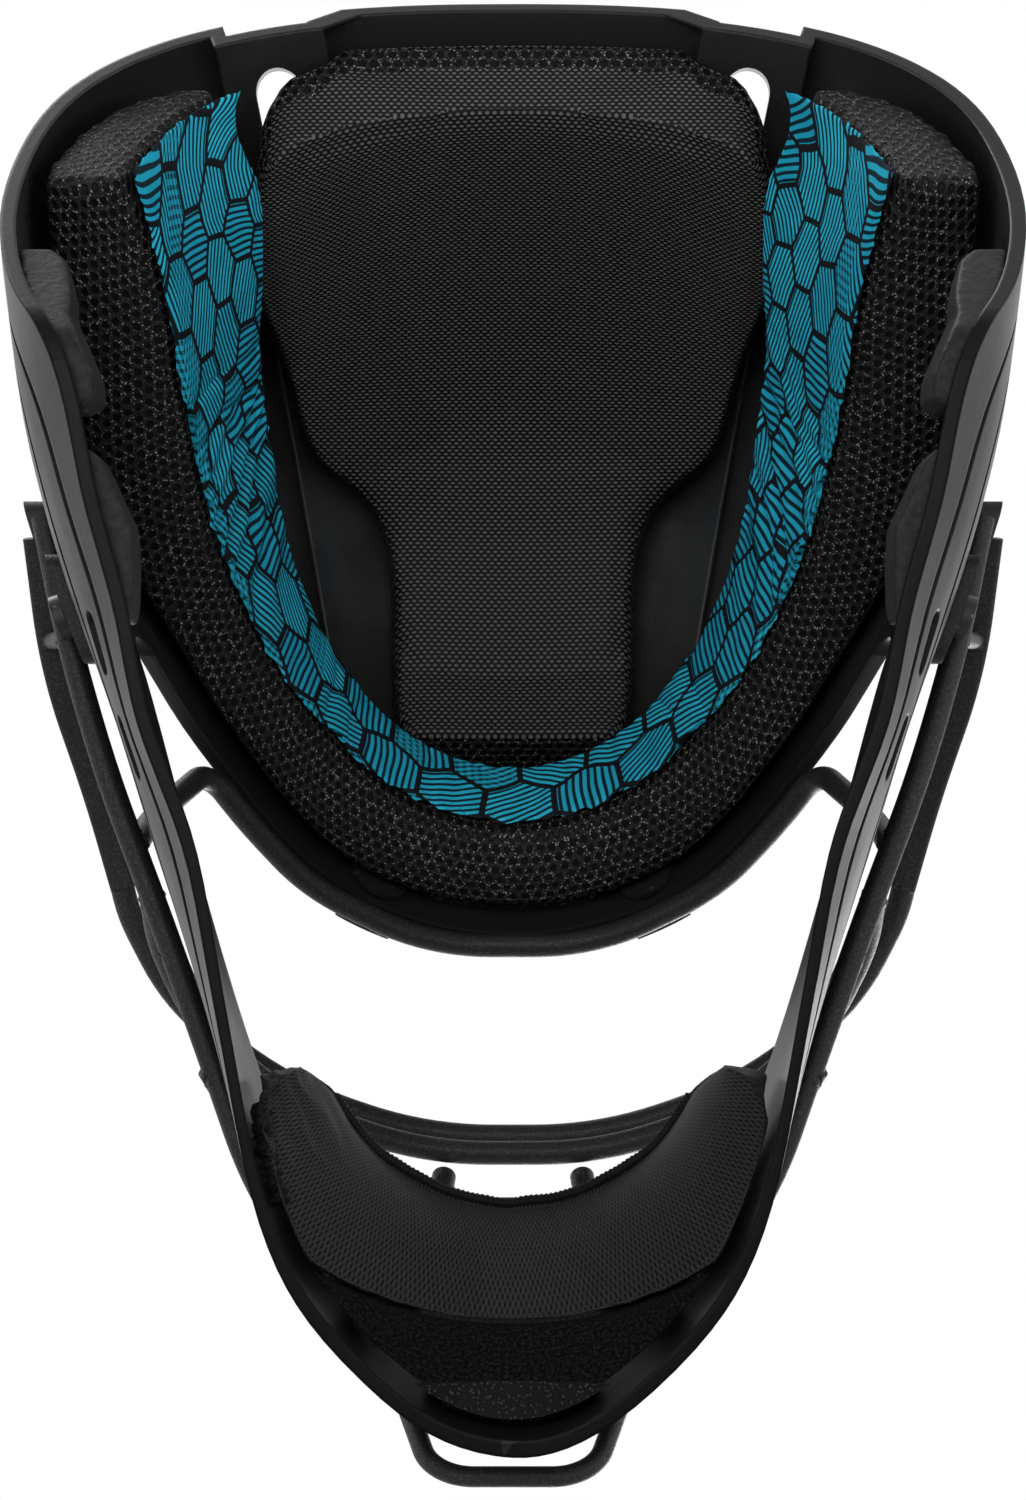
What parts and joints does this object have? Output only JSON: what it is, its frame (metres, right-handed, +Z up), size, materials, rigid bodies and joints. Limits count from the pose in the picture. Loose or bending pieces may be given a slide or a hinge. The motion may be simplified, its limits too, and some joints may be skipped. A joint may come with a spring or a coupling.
{
  "type": "catcher's helmet",
  "caption": "One-piece moulded catcher's helmet with a welded wire face cage, a throat guard loop and removable cloth-covered pads, resting on its rim",
  "frame": {"origin": "the middle of the bounding box's base, on the table that the helmet's rim rests on, in the plane of symmetry", "axes": "+Z up, the wearer's face towards -Y and tilted to look up by 31 degrees, the wearer's left is +X"},
  "size_m": [0.2218, 0.3298, 0.2],
  "materials": {
    "shell": "satin black moulded plastic outside, glossier inside",
    "cage": "black powder coat with a fine sand texture on steel wire",
    "clip": "matte black moulded plastic",
    "fixings": "black oxide steel",
    "spacer_mesh": "black knitted spacer mesh with round holes over foam",
    "printed_cloth": "teal cloth with a printed black lattice",
    "dotted_cloth": "black cloth with a fine dotted weave over foam",
    "jersey_mesh": "black jersey mesh with small slots over foam",
    "loop_cloth": "black brushed loop cloth over foam",
    "hook_strip": "black hook and loop tape",
    "grey_foam": "grey moulded foam with a soft skin"
  },
  "bodies": {
    "root": {"shell": "shell", "brow_bar": "cage", "eye_bar_upper": "cage", "eye_bar_lower": "cage", "mouth_bar": "cage", "lower_bar": "cage", "chin_rod": "cage", "throat_loop": "cage", "side_rod_left": "cage", "side_rod_right": "cage", "side_plate_left": "cage", "side_plate_right": "cage", "upright_left": "cage", "upright_right": "cage", "mount_tab_left": "cage", "mount_tab_right": "cage", "cross_rod_left": "cage", "cross_rod_right": "cage", "brow_tab_left": "cage", "brow_tab_right": "cage", "chin_tab_left": "cage", "chin_tab_right": "cage", "temple_clip_left": "clip", "temple_clip_right": "clip", "screws": "fixings", "tee_nuts": "fixings", "front_pad": "spacer_mesh", "sweatband": "printed_cloth", "crown_pad": "dotted_cloth", "chin_pad": "jersey_mesh", "chin_pad_base": "loop_cloth", "chin_strip": "hook_strip", "crown_patch": "hook_strip", "brow_patch": "hook_strip", "chin_patch": "hook_strip", "side_patch_left": "hook_strip", "side_patch_right": "hook_strip", "ear_pad_left": "grey_foam", "ear_pad_right": "grey_foam", "jaw_pad_left": "grey_foam", "jaw_pad_right": "grey_foam"}
  },
  "joints": []
}
